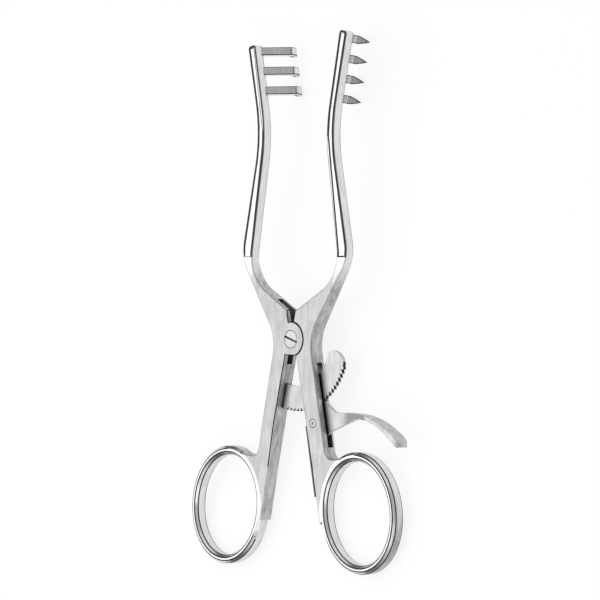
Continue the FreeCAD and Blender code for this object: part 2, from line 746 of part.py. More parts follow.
def make_rivet(doc, label, sign):
    """A flush rivet across the left handle and the tenon."""
    piece = Piece(doc, label)
    drawing = piece.draw("rivet_circle", offset=foot_frame())
    drawing.circle(f"{sign}{{rivet_spacing}} / 2", "-{tenon_length} / 2", "{rivet_radius}")
    piece.pad("rivet", drawing, "{joint_thickness}")
    return piece


def beside_pin(corners):
    """Corners given from the pin's middle, as corners of the drawing frame."""
    return [(f"{PIN_X} + ({c[0]})", f"-{PIN_Y} + ({c[1]})") + c[2:] for c in corners]


def make_release_lever(doc):
    """The pawl lever: a thin root in the handle's slot and a broad curved thumb pad."""
    piece = Piece(doc, "release_lever")
    plan = piece.draw("lever_outline")
    reach = "({bar_outer_radius} + {pawl_clearance})"
    pawl = (f"{reach} * cos({{pawl_angle}})", f"-{reach} * sin({{pawl_angle}})")
    heel = beside_pin([
        ("-1.1", "-4.2", "0.8"),
        ("-1.6", "-3.3"),
        ("-1.8", "-1.5"),
        ("-0.8", "1.3", "{pin_radius} * 0.8"),
        ("-0.1", "4.1"),
    ])
    pad = beside_pin([
        ("3.9", "4.45"),
        ("5.9", "2.95", "3"),
        ("22.35", "3.1", "{pad_radius}"),
        ("{lever_length}", "-4.4", "0.6"),
        ("{lever_length} - 1", "-5.4", "0.5"),
        ("21.5", "1.4", "{pad_radius} * 0.64"),
        ("13.8", "1.6", "5"),
        ("4.1", "-2.2", "2"),
        ("2.4", "-3.9", "1"),
    ])
    plan.outline(heel + [pawl] + pad)
    piece.pad("lever_blank", plan, "{pad_width}")
    sides = piece.draw("lever_sides", "XZ")
    start, end = f"{PIN_X} - {{slot_reach}}", f"{PIN_X} + {{lever_length}}"
    neck = f"{PIN_X} + {{lever_root_length}}"
    for sign, level in (("", "{bar_thickness} / 2 - {bar_behind}"),
                        ("-", "{bar_thickness} / 2 + {bar_behind}")):
        thin, broad = f"{sign}({level})", f"{sign}({{pad_width}} / 2)"
        beyond = f"{sign}{{pad_width}}"
        sides.outline([
            (start, thin),
            (neck, thin, "10"),
            (f"{neck} + {{lever_neck_length}}", broad, "6"),
            (end, broad, "{pad_width} * 0.47"),
            (end, "0"),
            (f"{end} + {{pad_width}}", "0"),
            (f"{end} + {{pad_width}}", beyond),
            (start, beyond),
        ])
    piece.cut("lever_waste", sides, THROUGH)
    drill(piece, "pin_bore", PIN_X, f"-{PIN_Y}", "{pin_radius} + {running_clearance}")
    return piece


def make_lever_pin(doc):
    """The pin the lever turns on, flush on both faces, with a centre mark in front."""
    piece = Piece(doc, "lever_pin")
    top = "{joint_thickness} / 2"
    section = piece.draw("pin_section", offset=place(PIN_X, f"-{PIN_Y}", roll="90"))
    section.outline([
        ("0", f"{top} - {{pin_mark}}"),
        ("0", f"-{top}"),
        *bevelled_foot("{pin_radius}", f"-{top}"),
        *bevelled_head("{pin_radius}", top),
        ("{pin_mark}", top),
    ])
    piece.turned("pin", section)
    return piece


def make_leaf_spring(doc):
    """The flat spring on the slotted handle's inner wall, free end behind the lever's heel."""
    piece = Piece(doc, "leaf_spring")
    strip = piece.draw("leaf_outline", offset=leaf_frame())
    strip.outline(box_corners(
        "-{leaf_screw_inset}", "{leaf_length} - {leaf_screw_inset}", "0", "{leaf_thickness}"
    ))
    piece.pad("leaf", strip, "{leaf_width}")
    bore = piece.draw("leaf_hole_outline", offset=leaf_frame())
    bore.outline(box_corners("0", "{leaf_screw_radius} + {seat_clearance}", "-0.5", "1"))
    piece.turned("leaf_hole", bore, "Groove")
    return piece


def make_spring_screw(doc):
    """The low-headed screw that clamps the leaf spring to the handle."""
    piece = Piece(doc, "spring_screw")
    section = piece.draw("spring_screw_section", offset=leaf_frame())
    crown = "{leaf_thickness} + {leaf_screw_crown}"
    section.outline([
        ("0", crown),
        ("0", "-{leaf_screw_length}"),
        *bevelled_foot("{leaf_screw_radius}", "-{leaf_screw_length}"),
        ("{leaf_screw_radius}", "{leaf_thickness}"),
        ("{leaf_screw_head}", "{leaf_thickness}"),
        *bevelled_head("{leaf_screw_head}", crown),
    ])
    piece.turned("spring_screw_body", section)
    return piece


def lay_down(pieces):
    """Turns and lifts every piece by one placement, onto prong tips and finger rings."""
    prong_reach = SIZES["prong_top_gap"] + (SIZES["right_prongs"] - 1) * SIZES["prong_pitch"]
    lean = math.radians(SIZES["arm_lean"])
    rake = math.radians(SIZES["prong_rake"])
    prong_reach += SIZES["prong_depth"] * math.sin(rake)
    prong_y = SIZES["arm_reach"] - prong_reach * math.cos(lean)
    ring_y = SIZES["ring_centre_y"] + SIZES["ring_half_length"]
    drop = SIZES["prong_depth"] * math.cos(rake) - SIZES["ring_thickness"] / 2
    turn = FreeCAD.Rotation(FreeCAD.Vector(1, 0, 0), math.degrees(math.atan(drop / (prong_y + ring_y))))
    for piece in pieces:
        piece.body.Placement = FreeCAD.Placement(FreeCAD.Vector(), turn)
    box = FreeCAD.BoundBox()
    for piece in pieces:
        box.add(piece.body.Shape.optimalBoundingBox(False, False))
    shift = FreeCAD.Vector(-box.Center.x, -box.Center.y, -box.ZMin)
    for piece in pieces:
        piece.body.Placement = FreeCAD.Placement(shift, turn)
    print("table frame: turn", turn.Angle, "shift", shift, "size", box)


def main():
    """Builds, checks and writes the pieces."""
    doc = FreeCAD.newDocument("retractor")
    make_sheet(doc)
    pieces = [
        make_left_half(doc),
        make_right_half(doc),
        make_pivot_screw(doc),
        make_ratchet_bar(doc),
        make_rivet(doc, "ratchet_rivet_upper", ""),
        make_rivet(doc, "ratchet_rivet_lower", "-"),
        make_release_lever(doc),
        make_lever_pin(doc),
        make_leaf_spring(doc),
        make_spring_screw(doc),
    ]
    lay_down(pieces)
    doc.recompute()
    for item in doc.Objects:
        if "Invalid" in item.State:
            raise RuntimeError(f"{item.Label}: {item.getStatusString()}")
    os.makedirs("parts", exist_ok=True)
    for piece in pieces:
        shape = piece.body.Shape
        if not shape.isValid() or len(shape.Solids) != 1:
            raise RuntimeError(f"{piece.body.Label} is not one valid solid")
        shape.exportStep(f"parts/{piece.body.Label}.step")
        print(piece.body.Label, round(shape.Volume, 2))


main()
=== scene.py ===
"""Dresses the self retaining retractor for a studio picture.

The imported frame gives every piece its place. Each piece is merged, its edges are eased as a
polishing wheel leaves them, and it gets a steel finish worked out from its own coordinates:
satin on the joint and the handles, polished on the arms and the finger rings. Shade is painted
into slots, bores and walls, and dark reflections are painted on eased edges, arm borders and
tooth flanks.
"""
import json
import logging
import math
from dataclasses import dataclass, field
from enum import Enum

import bmesh
import bpy
from mathutils import Matrix, Vector


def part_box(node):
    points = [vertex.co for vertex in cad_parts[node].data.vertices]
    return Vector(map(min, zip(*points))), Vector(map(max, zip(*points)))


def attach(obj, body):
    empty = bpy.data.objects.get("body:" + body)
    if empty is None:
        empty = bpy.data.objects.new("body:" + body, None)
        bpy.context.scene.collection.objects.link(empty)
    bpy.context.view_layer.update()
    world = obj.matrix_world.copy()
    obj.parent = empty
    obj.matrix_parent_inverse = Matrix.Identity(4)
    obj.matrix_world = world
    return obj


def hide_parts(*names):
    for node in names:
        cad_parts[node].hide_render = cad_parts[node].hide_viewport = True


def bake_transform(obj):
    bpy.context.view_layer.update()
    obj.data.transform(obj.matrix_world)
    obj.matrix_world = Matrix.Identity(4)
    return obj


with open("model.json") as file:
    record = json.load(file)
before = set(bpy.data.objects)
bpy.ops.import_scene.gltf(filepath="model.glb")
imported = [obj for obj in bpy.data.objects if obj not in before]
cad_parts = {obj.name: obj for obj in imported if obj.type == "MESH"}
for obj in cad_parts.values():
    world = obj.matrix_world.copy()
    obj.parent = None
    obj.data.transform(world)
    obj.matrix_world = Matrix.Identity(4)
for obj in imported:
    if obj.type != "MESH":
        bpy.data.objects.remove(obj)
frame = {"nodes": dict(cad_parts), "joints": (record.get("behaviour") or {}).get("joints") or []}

LOG = logging.getLogger("retractor")
MM = 0.001

# Places on the instrument, in millimetres across and along from the pivot
RING_MIDDLE = (24.2, -44.35)
RING_HALF = (12.25, 14.6)
# Sizes of the ring's oval between which its polish ends
RING_POLISH = (1.06, 1.12)
# Heights between which the arms turn from satin to polished
ARM_POLISH = (13.0, 21.0)
# Radii about the pivot between which the bar's teeth have their flanks, which get a painted dark
# reflection
TOOTH_FLANKS = (17.9, 18.72)


class Zone(Enum):
    """Where on a forging a finish lies."""

    WORKED = "worked"
    POLISHED = "polished"


@dataclass(frozen=True)
class Bench:
    """The instrument's own directions, worked out from its main hinge.

    Attributes:
        pivot: middle of the joint, metres.
        across: from the half with three prongs to the half with four.
        along: from the finger rings to the prongs.
        front: out of the face that shows the screw's head.
    """

    pivot: Vector
    across: Vector
    along: Vector
    front: Vector

    @classmethod
    def from_hinge(cls, joints: list[dict], name: str) -> "Bench":
        """Reads the directions off a hinge.

        Args:
            joints: the frame's joints.
            name: the hinge whose axis points out of the back.

        Returns:
            The directions, at right angles to each other.
        """
        hinge = next(joint for joint in joints if joint["name"] == name)
        front = -Vector(hinge["axis"]).normalized()
        across = Vector((1.0, 0.0, 0.0))
        across = (across - front * across.dot(front)).normalized()
        return cls(Vector(hinge["pos_m"]), across, front.cross(across), front)

    def point(self, x: float, y: float, z: float) -> Vector:
        """Finds a point of the scene.

        Args:
            x: millimetres across from the pivot.
            y: millimetres along.
            z: millimetres to the front.

        Returns:
            The point, in metres.
        """
        return self.pivot + self.direction(x, y, z) * MM

    def direction(self, x: float, y: float, z: float) -> Vector:
        """Adds up shares of the three directions.

        Args:
            x: share across.
            y: share along.
            z: share to the front.

        Returns:
            The sum.
        """
        return self.across * x + self.along * y + self.front * z

    def measure(self, point: Vector) -> Vector:
        """Measures a point of the scene along the three directions.

        Args:
            point: the point, in metres.

        Returns:
            Its millimetres across, along and to the front from the pivot.
        """
        way = (point - self.pivot) / MM
        return Vector((way.dot(self.across), way.dot(self.along), way.dot(self.front)))


class NodeTree:
    """A small helper that adds nodes to a tree and joins them."""

    def __init__(self, tree: bpy.types.NodeTree) -> None:
        """Keeps the tree that nodes are added to."""
        self.tree = tree
        self.column = 0

    def add(self, kind: str, **settings: object) -> bpy.types.Node:
        """Adds a node.

        Args:
            kind: the node's type.
            settings: the node's properties.

        Returns:
            The new node.
        """
        node = self.tree.nodes.new(kind)
        node.location = (self.column * 180, 0)
        self.column += 1
        for name, value in settings.items():
            setattr(node, name, value)
        return node

    def join(self, source: bpy.types.NodeSocket, target: bpy.types.NodeSocket) -> None:
        """Joins an output to an input.

        Args:
            source: the output.
            target: the input.
        """
        self.tree.links.new(source, target)

    def reach(self, value: bpy.types.NodeSocket, way: Vector) -> bpy.types.NodeSocket:
        """Measures how far a vector reaches along a direction.

        Args:
            value: the vector, an output of another node.
            way: the direction.

        Returns:
            The dot product of both.
        """
        node = self.add("ShaderNodeVectorMath", operation="DOT_PRODUCT")
        self.join(value, node.inputs[0])
        node.inputs[1].default_value = way
        return node.outputs["Value"]

    def maths(self, operation: str, *terms: object) -> bpy.types.NodeSocket:
        """Adds a Math node.

        Args:
            operation: the node's operation.
            terms: numbers, or outputs of other nodes.

        Returns:
            The node's result.
        """
        node = self.add("ShaderNodeMath", operation=operation)
        for index, term in enumerate(terms):
            if isinstance(term, (int, float)):
                node.inputs[index].default_value = term
            else:
                self.join(term, node.inputs[index])
        return node.outputs[0]

    def remap(self, value: bpy.types.NodeSocket, low: float, high: float, to_low: float,
              to_high: float, smooth: bool = True) -> bpy.types.NodeSocket:
        """Maps a value from one range to another.

        Args:
            value: what is mapped.
            low: start of the range read.
            high: end of the range read.
            to_low: result at the start.
            to_high: result at the end.
            smooth: whether the ends ease in.

        Returns:
            The mapped value.
        """
        node = self.add("ShaderNodeMapRange")
        node.interpolation_type = "SMOOTHSTEP" if smooth else "LINEAR"
        self.join(value, node.inputs["Value"])
        for name, number in zip(("From Min", "From Max", "To Min", "To Max"),
                                (low, high, to_low, to_high)):
            node.inputs[name].default_value = number
        return node.outputs["Result"]


@dataclass(frozen=True)
class SurfaceGroups:
    """Shader groups that several finishes share, each built once.

    Attributes:
        grain_name: name of the group for scratches.
        cloud_name: name of the group for soft patches.
        recess_name: name of the group that paints shade into recesses.
        fine_share: how much of the grain's height the fine scratches make.
        coarse_scale: scale of the coarse scratches, as a share of the fine ones.
        streak_limits: noise between which streaks fade in.
        cloud_limits: noise between which patches fade in.
    """

    grain_name: str = "Polishing grain"
    cloud_name: str = "Handling clouds"
    recess_name: str = "Dark recesses"
    fine_share: float = 0.65
    coarse_scale: float = 0.23
    streak_limits: tuple[float, float] = (0.35, 0.65)
    cloud_limits: tuple[float, float] = (0.38, 0.66)

    def grain(self) -> bpy.types.NodeTree:
        """Fine scratches along one direction, as a wheel or a stone leaves them.

        Returns:
            The group, with a roughness change and a height.
        """
        if self.grain_name in bpy.data.node_groups:
            return bpy.data.node_groups[self.grain_name]
        group = bpy.data.node_groups.new(self.grain_name, "ShaderNodeTree")
        sockets = group.interface
        sockets.new_socket("Position", in_out="INPUT", socket_type="NodeSocketVector")
        sockets.new_socket("Stretch", in_out="INPUT", socket_type="NodeSocketVector")
        sockets.new_socket("Scale", in_out="INPUT", socket_type="NodeSocketFloat")
        sockets.new_socket("Height", in_out="OUTPUT", socket_type="NodeSocketFloat")
        sockets.new_socket("Streaks", in_out="OUTPUT", socket_type="NodeSocketFloat")
        build = NodeTree(group)
        start = build.add("NodeGroupInput")
        stretched = build.add("ShaderNodeVectorMath", operation="MULTIPLY")
        build.join(start.outputs["Position"], stretched.inputs[0])
        build.join(start.outputs["Stretch"], stretched.inputs[1])
        fine = build.add("ShaderNodeTexNoise")
        fine.inputs["Detail"].default_value = 3.0
        fine.inputs["Roughness"].default_value = 0.6
        build.join(stretched.outputs[0], fine.inputs["Vector"])
        build.join(start.outputs["Scale"], fine.inputs["Scale"])
        coarse = build.add("ShaderNodeTexNoise")
        coarse.inputs["Detail"].default_value = 1.0
        build.join(stretched.outputs[0], coarse.inputs["Vector"])
        build.join(build.maths("MULTIPLY", start.outputs["Scale"], self.coarse_scale),
                   coarse.inputs["Scale"])
        height = build.maths("ADD", build.maths("MULTIPLY", fine.outputs["Fac"], self.fine_share),
                             build.maths("MULTIPLY", coarse.outputs["Fac"],
                                         1.0 - self.fine_share))
        end = build.add("NodeGroupOutput")
        build.join(height, end.inputs["Height"])
        build.join(build.remap(coarse.outputs["Fac"], *self.streak_limits, 0.0, 1.0),
                   end.inputs["Streaks"])
        return group

    def clouds(self) -> bpy.types.NodeTree:
        """Soft uneven patches where a satin surface has been wiped and handled.

        Returns:
            The group, with one mask.
        """
        if self.cloud_name in bpy.data.node_groups:
            return bpy.data.node_groups[self.cloud_name]
        group = bpy.data.node_groups.new(self.cloud_name, "ShaderNodeTree")
        sockets = group.interface
        sockets.new_socket("Position", in_out="INPUT", socket_type="NodeSocketVector")
        sockets.new_socket("Scale", in_out="INPUT", socket_type="NodeSocketFloat")
        sockets.new_socket("Mask", in_out="OUTPUT", socket_type="NodeSocketFloat")
        build = NodeTree(group)
        start = build.add("NodeGroupInput")
        noise = build.add("ShaderNodeTexNoise")
        noise.inputs["Detail"].default_value = 4.0
        noise.inputs["Distortion"].default_value = 0.4
        build.join(start.outputs["Position"], noise.inputs["Vector"])
        build.join(start.outputs["Scale"], noise.inputs["Scale"])
        end = build.add("NodeGroupOutput")
        build.join(build.remap(noise.outputs["Fac"], *self.cloud_limits, 0.0, 1.0),
                   end.inputs["Mask"])
        return group

    def recesses(self) -> bpy.types.NodeTree:
        """Painted shade in slots, bores and tooth gaps, darker where ambient occlusion finds them
        covered.

        Returns:
            The group, with one mask that is 1 on open surfaces.
        """
        if self.recess_name in bpy.data.node_groups:
            return bpy.data.node_groups[self.recess_name]
        group = bpy.data.node_groups.new(self.recess_name, "ShaderNodeTree")
        sockets = group.interface
        for name in ("Reach", "Dark below", "Clean above"):
            sockets.new_socket(name, in_out="INPUT", socket_type="NodeSocketFloat")
        sockets.new_socket("Open", in_out="OUTPUT", socket_type="NodeSocketFloat")
        build = NodeTree(group)
        start = build.add("NodeGroupInput")
        cover = build.add("ShaderNodeAmbientOcclusion", samples=8)
        build.join(start.outputs["Reach"], cover.inputs["Distance"])
        end = build.add("NodeGroupOutput")
        span = build.maths("SUBTRACT", start.outputs["Clean above"], start.outputs["Dark below"])
        above = build.maths("SUBTRACT", cover.outputs["AO"], start.outputs["Dark below"])
        share = build.add("ShaderNodeMath", operation="DIVIDE", use_clamp=True)
        build.join(above, share.inputs[0])
        build.join(span, share.inputs[1])
        build.join(share.outputs[0], end.inputs["Open"])
        return group


@dataclass(frozen=True)
class SteelFinish:
    """One finish of stainless steel.

    Attributes:
        name: the material's name.
        colour: the metal's colour where it is satin.
        polished_colour: its colour where it is polished.
        shade_and_stain_colour: near black, painted as shade in slots, bores and on the worked
            walls, and mixed in a little as stains along streaks and patches.
        roughness: how satin the worked zones are.
        polished_roughness: how bright the polished zones are.
        grain_scale: scratches per metre across the grain.
        grain_stretch: how the grain's scale is shared among the axes.
        grain_depth: how deep the scratches read in the bump.
        grain_height: height of the scratches, metres.
        cloud_scale: soft patches per metre.
        painted_shade_reach: how far the painted recess shade looks for what covers a surface,
            metres.
        painted_shade_limits: open shares at which the painted recess shade is full and gone.
        metallic: 1 for bare metal, less on the painted dark edge lines, so that they reflect
            little.
        specular: gloss of what is not bare metal.
        wall_shade: how much painted shade darkens the worked walls, in patches.
        wall_lean: how far a wall faces the front, from full wall to none.
        zones: which zones the piece has.
        groups: the shader groups it uses.
    """

    name: str
    colour: tuple[float, float, float] = (0.64, 0.64, 0.64)
    polished_colour: tuple[float, float, float] = (0.86, 0.86, 0.86)
    # Near black: painted shade in recesses and on the walls, and a little stain along streaks and
    # patches.
    shade_and_stain_colour: tuple[float, float, float] = (0.04, 0.04, 0.04)
    roughness: float = 0.36
    polished_roughness: float = 0.15
    grain_scale: float = 5200.0
    grain_stretch: tuple[float, float, float] = (1.0, 0.06, 1.0)
    grain_depth: float = 0.10
    grain_height: float = 0.00002
    cloud_scale: float = 260.0
    painted_shade_reach: float = 0.0016
    painted_shade_limits: tuple[float, float] = (0.22, 0.72)
    metallic: float = 1.0
    specular: float = 0.5
    wall_shade: float = 0.34
    wall_lean: tuple[float, float] = (0.25, 0.6)
    zones: tuple[Zone, ...] = (Zone.WORKED,)
    groups: SurfaceGroups = field(default_factory=SurfaceGroups)

    def material(self, bench: Bench) -> bpy.types.Material:
        """Builds the finish as a material, once.

        Args:
            bench: the instrument's directions, which place the zones.

        Returns:
            The material.
        """
        if self.name in bpy.data.materials:
            return bpy.data.materials[self.name]
        material = bpy.data.materials.new(self.name)
        material.use_nodes = True
        material.node_tree.nodes.clear()
        build = NodeTree(material.node_tree)
        place = build.add("ShaderNodeTexCoord").outputs["Object"]
        worked = self._worked_zone(build, place, bench)
        wall = self._wall_zone(build, worked, bench)
        grain = build.add("ShaderNodeGroup", node_tree=self.groups.grain())
        build.join(place, grain.inputs["Position"])
        grain.inputs["Stretch"].default_value = self.grain_stretch
        grain.inputs["Scale"].default_value = self.grain_scale
        clouds = build.add("ShaderNodeGroup", node_tree=self.groups.clouds())
        build.join(place, clouds.inputs["Position"])
        clouds.inputs["Scale"].default_value = self.cloud_scale
        shader = build.add("ShaderNodeBsdfPrincipled")
        shader.inputs["Metallic"].default_value = self.metallic
        shader.inputs["Specular IOR Level"].default_value = self.specular
        self._dress_colour(build, worked, wall, clouds.outputs["Mask"],
                           grain.outputs["Streaks"], shader)
        self._dress_roughness(build, worked, grain.outputs["Streaks"],
                              clouds.outputs["Mask"], shader)
        bump = build.add("ShaderNodeBump")
        bump.inputs["Distance"].default_value = self.grain_height
        bump.inputs["Strength"].default_value = self.grain_depth
        build.join(grain.outputs["Height"], bump.inputs["Height"])
        build.join(bump.outputs["Normal"], shader.inputs["Normal"])
        end = build.add("ShaderNodeOutputMaterial")
        build.join(shader.outputs[0], end.inputs["Surface"])
        return material

    def _worked_zone(self, build: NodeTree, place: bpy.types.NodeSocket,
                     bench: Bench) -> bpy.types.NodeSocket | float:
        """Masks the satin zone: all but the arms and the finger rings.

        Args:
            build: the material's nodes.
            place: the place on the piece.
            bench: the instrument's directions.

        Returns:
            The mask, 1 where the steel is satin.
        """
        if Zone.POLISHED not in self.zones:
            return 1.0
        from_pivot = build.add("ShaderNodeVectorMath", operation="SUBTRACT")
        build.join(place, from_pivot.inputs[0])
        from_pivot.inputs[1].default_value = bench.pivot
        across = build.maths("ABSOLUTE", build.reach(from_pivot.outputs[0], bench.across))
        along = build.reach(from_pivot.outputs[0], bench.along)
        upper = build.remap(along, *(height * MM for height in ARM_POLISH), 1.0, 0.0)
        squares = []
        for measure, middle, half in zip((across, along), RING_MIDDLE, RING_HALF):
            share = build.maths("DIVIDE", build.maths("SUBTRACT", measure, middle * MM), half * MM)
            squares.append(build.maths("MULTIPLY", share, share))
        oval = build.maths("SQRT", build.maths("ADD", *squares))
        return build.maths("MULTIPLY", upper, build.remap(oval, *RING_POLISH, 0.0, 1.0))

    def _wall_zone(self, build: NodeTree, worked: bpy.types.NodeSocket | float,
                   bench: Bench) -> bpy.types.NodeSocket:
        """Masks the worked walls, which stand upright to the front face and get painted shade.

        Args:
            build: the material's nodes.
            worked: the mask of the satin zone.
            bench: the instrument's directions.

        Returns:
            The mask, 1 on the walls.
        """
        normal = build.add("ShaderNodeNewGeometry").outputs["True Normal"]
        lean = build.maths("ABSOLUTE", build.reach(normal, bench.front))
        return build.maths("MULTIPLY", build.remap(lean, *self.wall_lean, 1.0, 0.0), worked)

    def _dress_colour(self, build: NodeTree, worked: bpy.types.NodeSocket | float,
                      wall: bpy.types.NodeSocket, clouds: bpy.types.NodeSocket,
                      streaks: bpy.types.NodeSocket, shader: bpy.types.Node) -> None:
        """Mixes both zones' colour, with painted shade in patches on the walls, darker streaks and
        painted shade in recesses.

        Args:
            build: the material's nodes.
            worked: the mask of the satin zone.
            wall: the mask of the worked walls.
            clouds: soft patches.
            streaks: streaks along the grain.
            shader: the node that gets the colour.
        """
        zones = self._mix(build, worked, self.polished_colour, self.colour)
        # Painted shade on the worked walls, in patches of clouds and streaks, turning them darker.
        patches = build.maths("ADD", build.maths("MULTIPLY", clouds, 0.4),
                              build.maths("MULTIPLY", streaks, 0.6))
        painted_wall_shade = build.maths("MULTIPLY", build.maths("MULTIPLY", wall, patches),
                              self.wall_shade)
        zones = self._mix(build, painted_wall_shade, zones, self.shade_and_stain_colour)
        # Streaks and handling clouds darken the colour a little everywhere, as stains.
        mixed = build.maths("ADD", build.maths("MULTIPLY", clouds, 0.05),
                            build.maths("MULTIPLY", streaks, 0.07))
        uneven = self._mix(build, mixed, zones, self.shade_and_stain_colour)
        # Painted shade: slots, bores and tooth gaps turn near black where ambient occlusion finds
        # them covered.
        open_part = build.add("ShaderNodeGroup", node_tree=self.groups.recesses())
        open_part.inputs["Reach"].default_value = self.painted_shade_reach
        open_part.inputs["Dark below"].default_value = self.painted_shade_limits[0]
        open_part.inputs["Clean above"].default_value = self.painted_shade_limits[1]
        with_painted_recess_shade = self._mix(build, open_part.outputs["Open"], self.shade_and_stain_colour, uneven)
        build.join(with_painted_recess_shade, shader.inputs["Base Color"])

    def _mix(self, build: NodeTree, share: bpy.types.NodeSocket | float,
             *ends: bpy.types.NodeSocket | tuple[float, float, float]) -> bpy.types.NodeSocket:
        """Mixes two colours.

        Args:
            build: the material's nodes.
            share: how much of the second colour there is.
            ends: both colours.

        Returns:
            The mixed colour.
        """
        mix = build.add("ShaderNodeMix", data_type="RGBA")
        if isinstance(share, (int, float)):
            mix.inputs["Factor"].default_value = share
        else:
            build.join(share, mix.inputs["Factor"])
        for name, end in zip("AB", ends):
            socket = next(s for s in mix.inputs if s.name == name and s.type == "RGBA")
            if isinstance(end, tuple):
                socket.default_value = (*end, 1.0)
            else:
                build.join(end, socket)
        return next(s for s in mix.outputs if s.type == "RGBA")

    def _dress_roughness(self, build: NodeTree, worked: bpy.types.NodeSocket | float,
                         streaks: bpy.types.NodeSocket, clouds: bpy.types.NodeSocket,
                         shader: bpy.types.Node) -> None:
        """Mixes both zones' roughness and lets grain and clouds change it a little.

        Args:
            build: the material's nodes.
            worked: the mask of the satin zone.
            streaks: streaks along the grain.
            clouds: soft patches.
            shader: the node that gets the roughness.
        """
        span = self.roughness - self.polished_roughness
        base = build.maths("ADD", build.maths("MULTIPLY", worked, span),
                           self.polished_roughness)
        uneven = build.maths("ADD", build.maths("MULTIPLY", streaks, 0.05),
                             build.maths("MULTIPLY", clouds, 0.04))
        build.join(build.maths("ADD", base, uneven), shader.inputs["Roughness"])


@dataclass(frozen=True)
class Forging:
    """Where a forging's ring and arm are, in the instrument's own millimetres.

    Attributes:
        ring: middle of the finger ring.
        ring_reach: from the ring's middle to beyond its outer edge.
        arm_foot: height where the rounded arm starts.
        arm_depth: from the middle plane to beyond the arm's faces.
        rounding_width: strips of the arm's rounding are narrower than this.
        rounding_leans: how far its strips with a painted dark reflection lean from the front,
            degrees.
        level: cosine beyond which a face lies level with the front.
        broad_area: a level face larger than this is the arm's front or back, mm2.
        handle_slope: share of a spoke's length below which the ring is clear of the handle.
        round_run: an edge that turns more than this from a spoke doesn't run round the ring.
        upright_run: an edge steeper than this doesn't either.
        border: width of the dark border painted round the arm's faces, a painted dark reflection.
        left_border: what the painted dark border is wider by on the side that three prongs point
            from.
        flush: where pieces are seated flush, each with a reach beyond its edge.
    """

    ring: tuple[float, float]
    flush: tuple[tuple[Vector, float], ...]
    border: float = 0.24
    left_border: float = 0.34
    ring_reach: float = 17.2
    arm_foot: float = 21.4
    arm_depth: float = 1.6
    rounding_width: float = 0.22
    rounding_leans: tuple[tuple[float, float], ...] = ((2.0, 48.0), (95.0, 178.0))
    level: float = 0.995
    broad_area: float = 20.0
    handle_slope: float = -0.6
    round_run: float = 0.35
    upright_run: float = 0.2

    def eases(self, edge: bmesh.types.BMEdge, bench: Bench) -> bool:
        """Tells whether an edge is ground round.

        On the ring only edges that run round it are, up to where the handle joins it, and
        none round a flush piece is.

        Args:
            edge: a crisp edge.
            bench: the instrument's directions.

        Returns:
            True where the edge is eased.
        """
        ends = [bench.measure(corner.co) for corner in edge.verts]
        middle = (ends[0] + ends[1]) / 2
        spoke = Vector((middle.x - self.ring[0], middle.y - self.ring[1], 0.0))
        if any((middle - place).xy.length < reach for place, reach in self.flush):
            return False
        if spoke.length > self.ring_reach:
            return middle.y < self.arm_foot or middle.z < -self.arm_depth
        outside = math.hypot(spoke.x / RING_HALF[0], spoke.y / RING_HALF[1]) > 1.0
        inward = spoke.x * self.ring[0] < 0.0
        if outside and inward and spoke.y > self.handle_slope * spoke.length:
            return False
        run = (ends[1] - ends[0]).normalized()
        return (abs(run.dot(spoke.normalized())) < self.round_run
                and abs(run.z) < self.upright_run)

    def is_arm_face(self, face: bmesh.types.BMFace, bench: Bench) -> bool:
        """Tells whether a face is the broad front or back of the arm.

        Args:
            face: a face of the welded mesh.
            bench: the instrument's directions.

        Returns:
            True for the broad faces.
        """
        middle = bench.measure(face.calc_center_median())
        level = abs(face.normal.dot(bench.front)) > self.level
        broad = face.calc_area() > self.broad_area * MM * MM
        return middle.y > self.arm_foot and level and broad

    def mark_borders(self, work: bmesh.types.BMesh, bench: Bench) -> None:
        """Paints the arm's front and back a dark border, a painted dark reflection, wider along
        the left.

        Args:
            work: the forging's welded mesh.
            bench: the instrument's directions.
        """
        broad = [face for face in work.faces if self.is_arm_face(face, bench)]
        # Painted dark reflection: the border takes the near black edge finish.
        rim = bmesh.ops.inset_region(work, faces=broad, thickness=self.border * MM)
        for face in rim["faces"]:
            face.material_index = 1
        inner = bmesh.ops.inset_region(work, faces=broad, thickness=self.left_border * MM)
        within = set(broad)
        for face in inner["faces"]:
            for edge in face.edges:
                if not within.isdisjoint(edge.link_faces):
                    middle = (edge.verts[0].co + edge.verts[1].co) / 2
                    outward = face.calc_center_median() - middle
                    face.material_index = int(outward.dot(bench.across) < 0)

    def is_rounding(self, face: bmesh.types.BMFace, bench: Bench) -> bool:
        """Tells whether a face is a strip of the arm's rounding that gets a painted dark
        reflection.

        Args:
            face: a face of the welded mesh.
            bench: the instrument's directions.

        Returns:
            True for the strips.
        """
        middle = bench.measure(face.calc_center_median())
        if middle.y < self.arm_foot or abs(middle.z) > self.arm_depth:
            return False
        longest = max(edge.calc_length() for edge in face.edges)
        narrow = face.calc_area() / longest < self.rounding_width * MM
        lean = math.degrees(face.normal.angle(bench.front))
        return narrow and any(low < lean < high for low, high in self.rounding_leans)


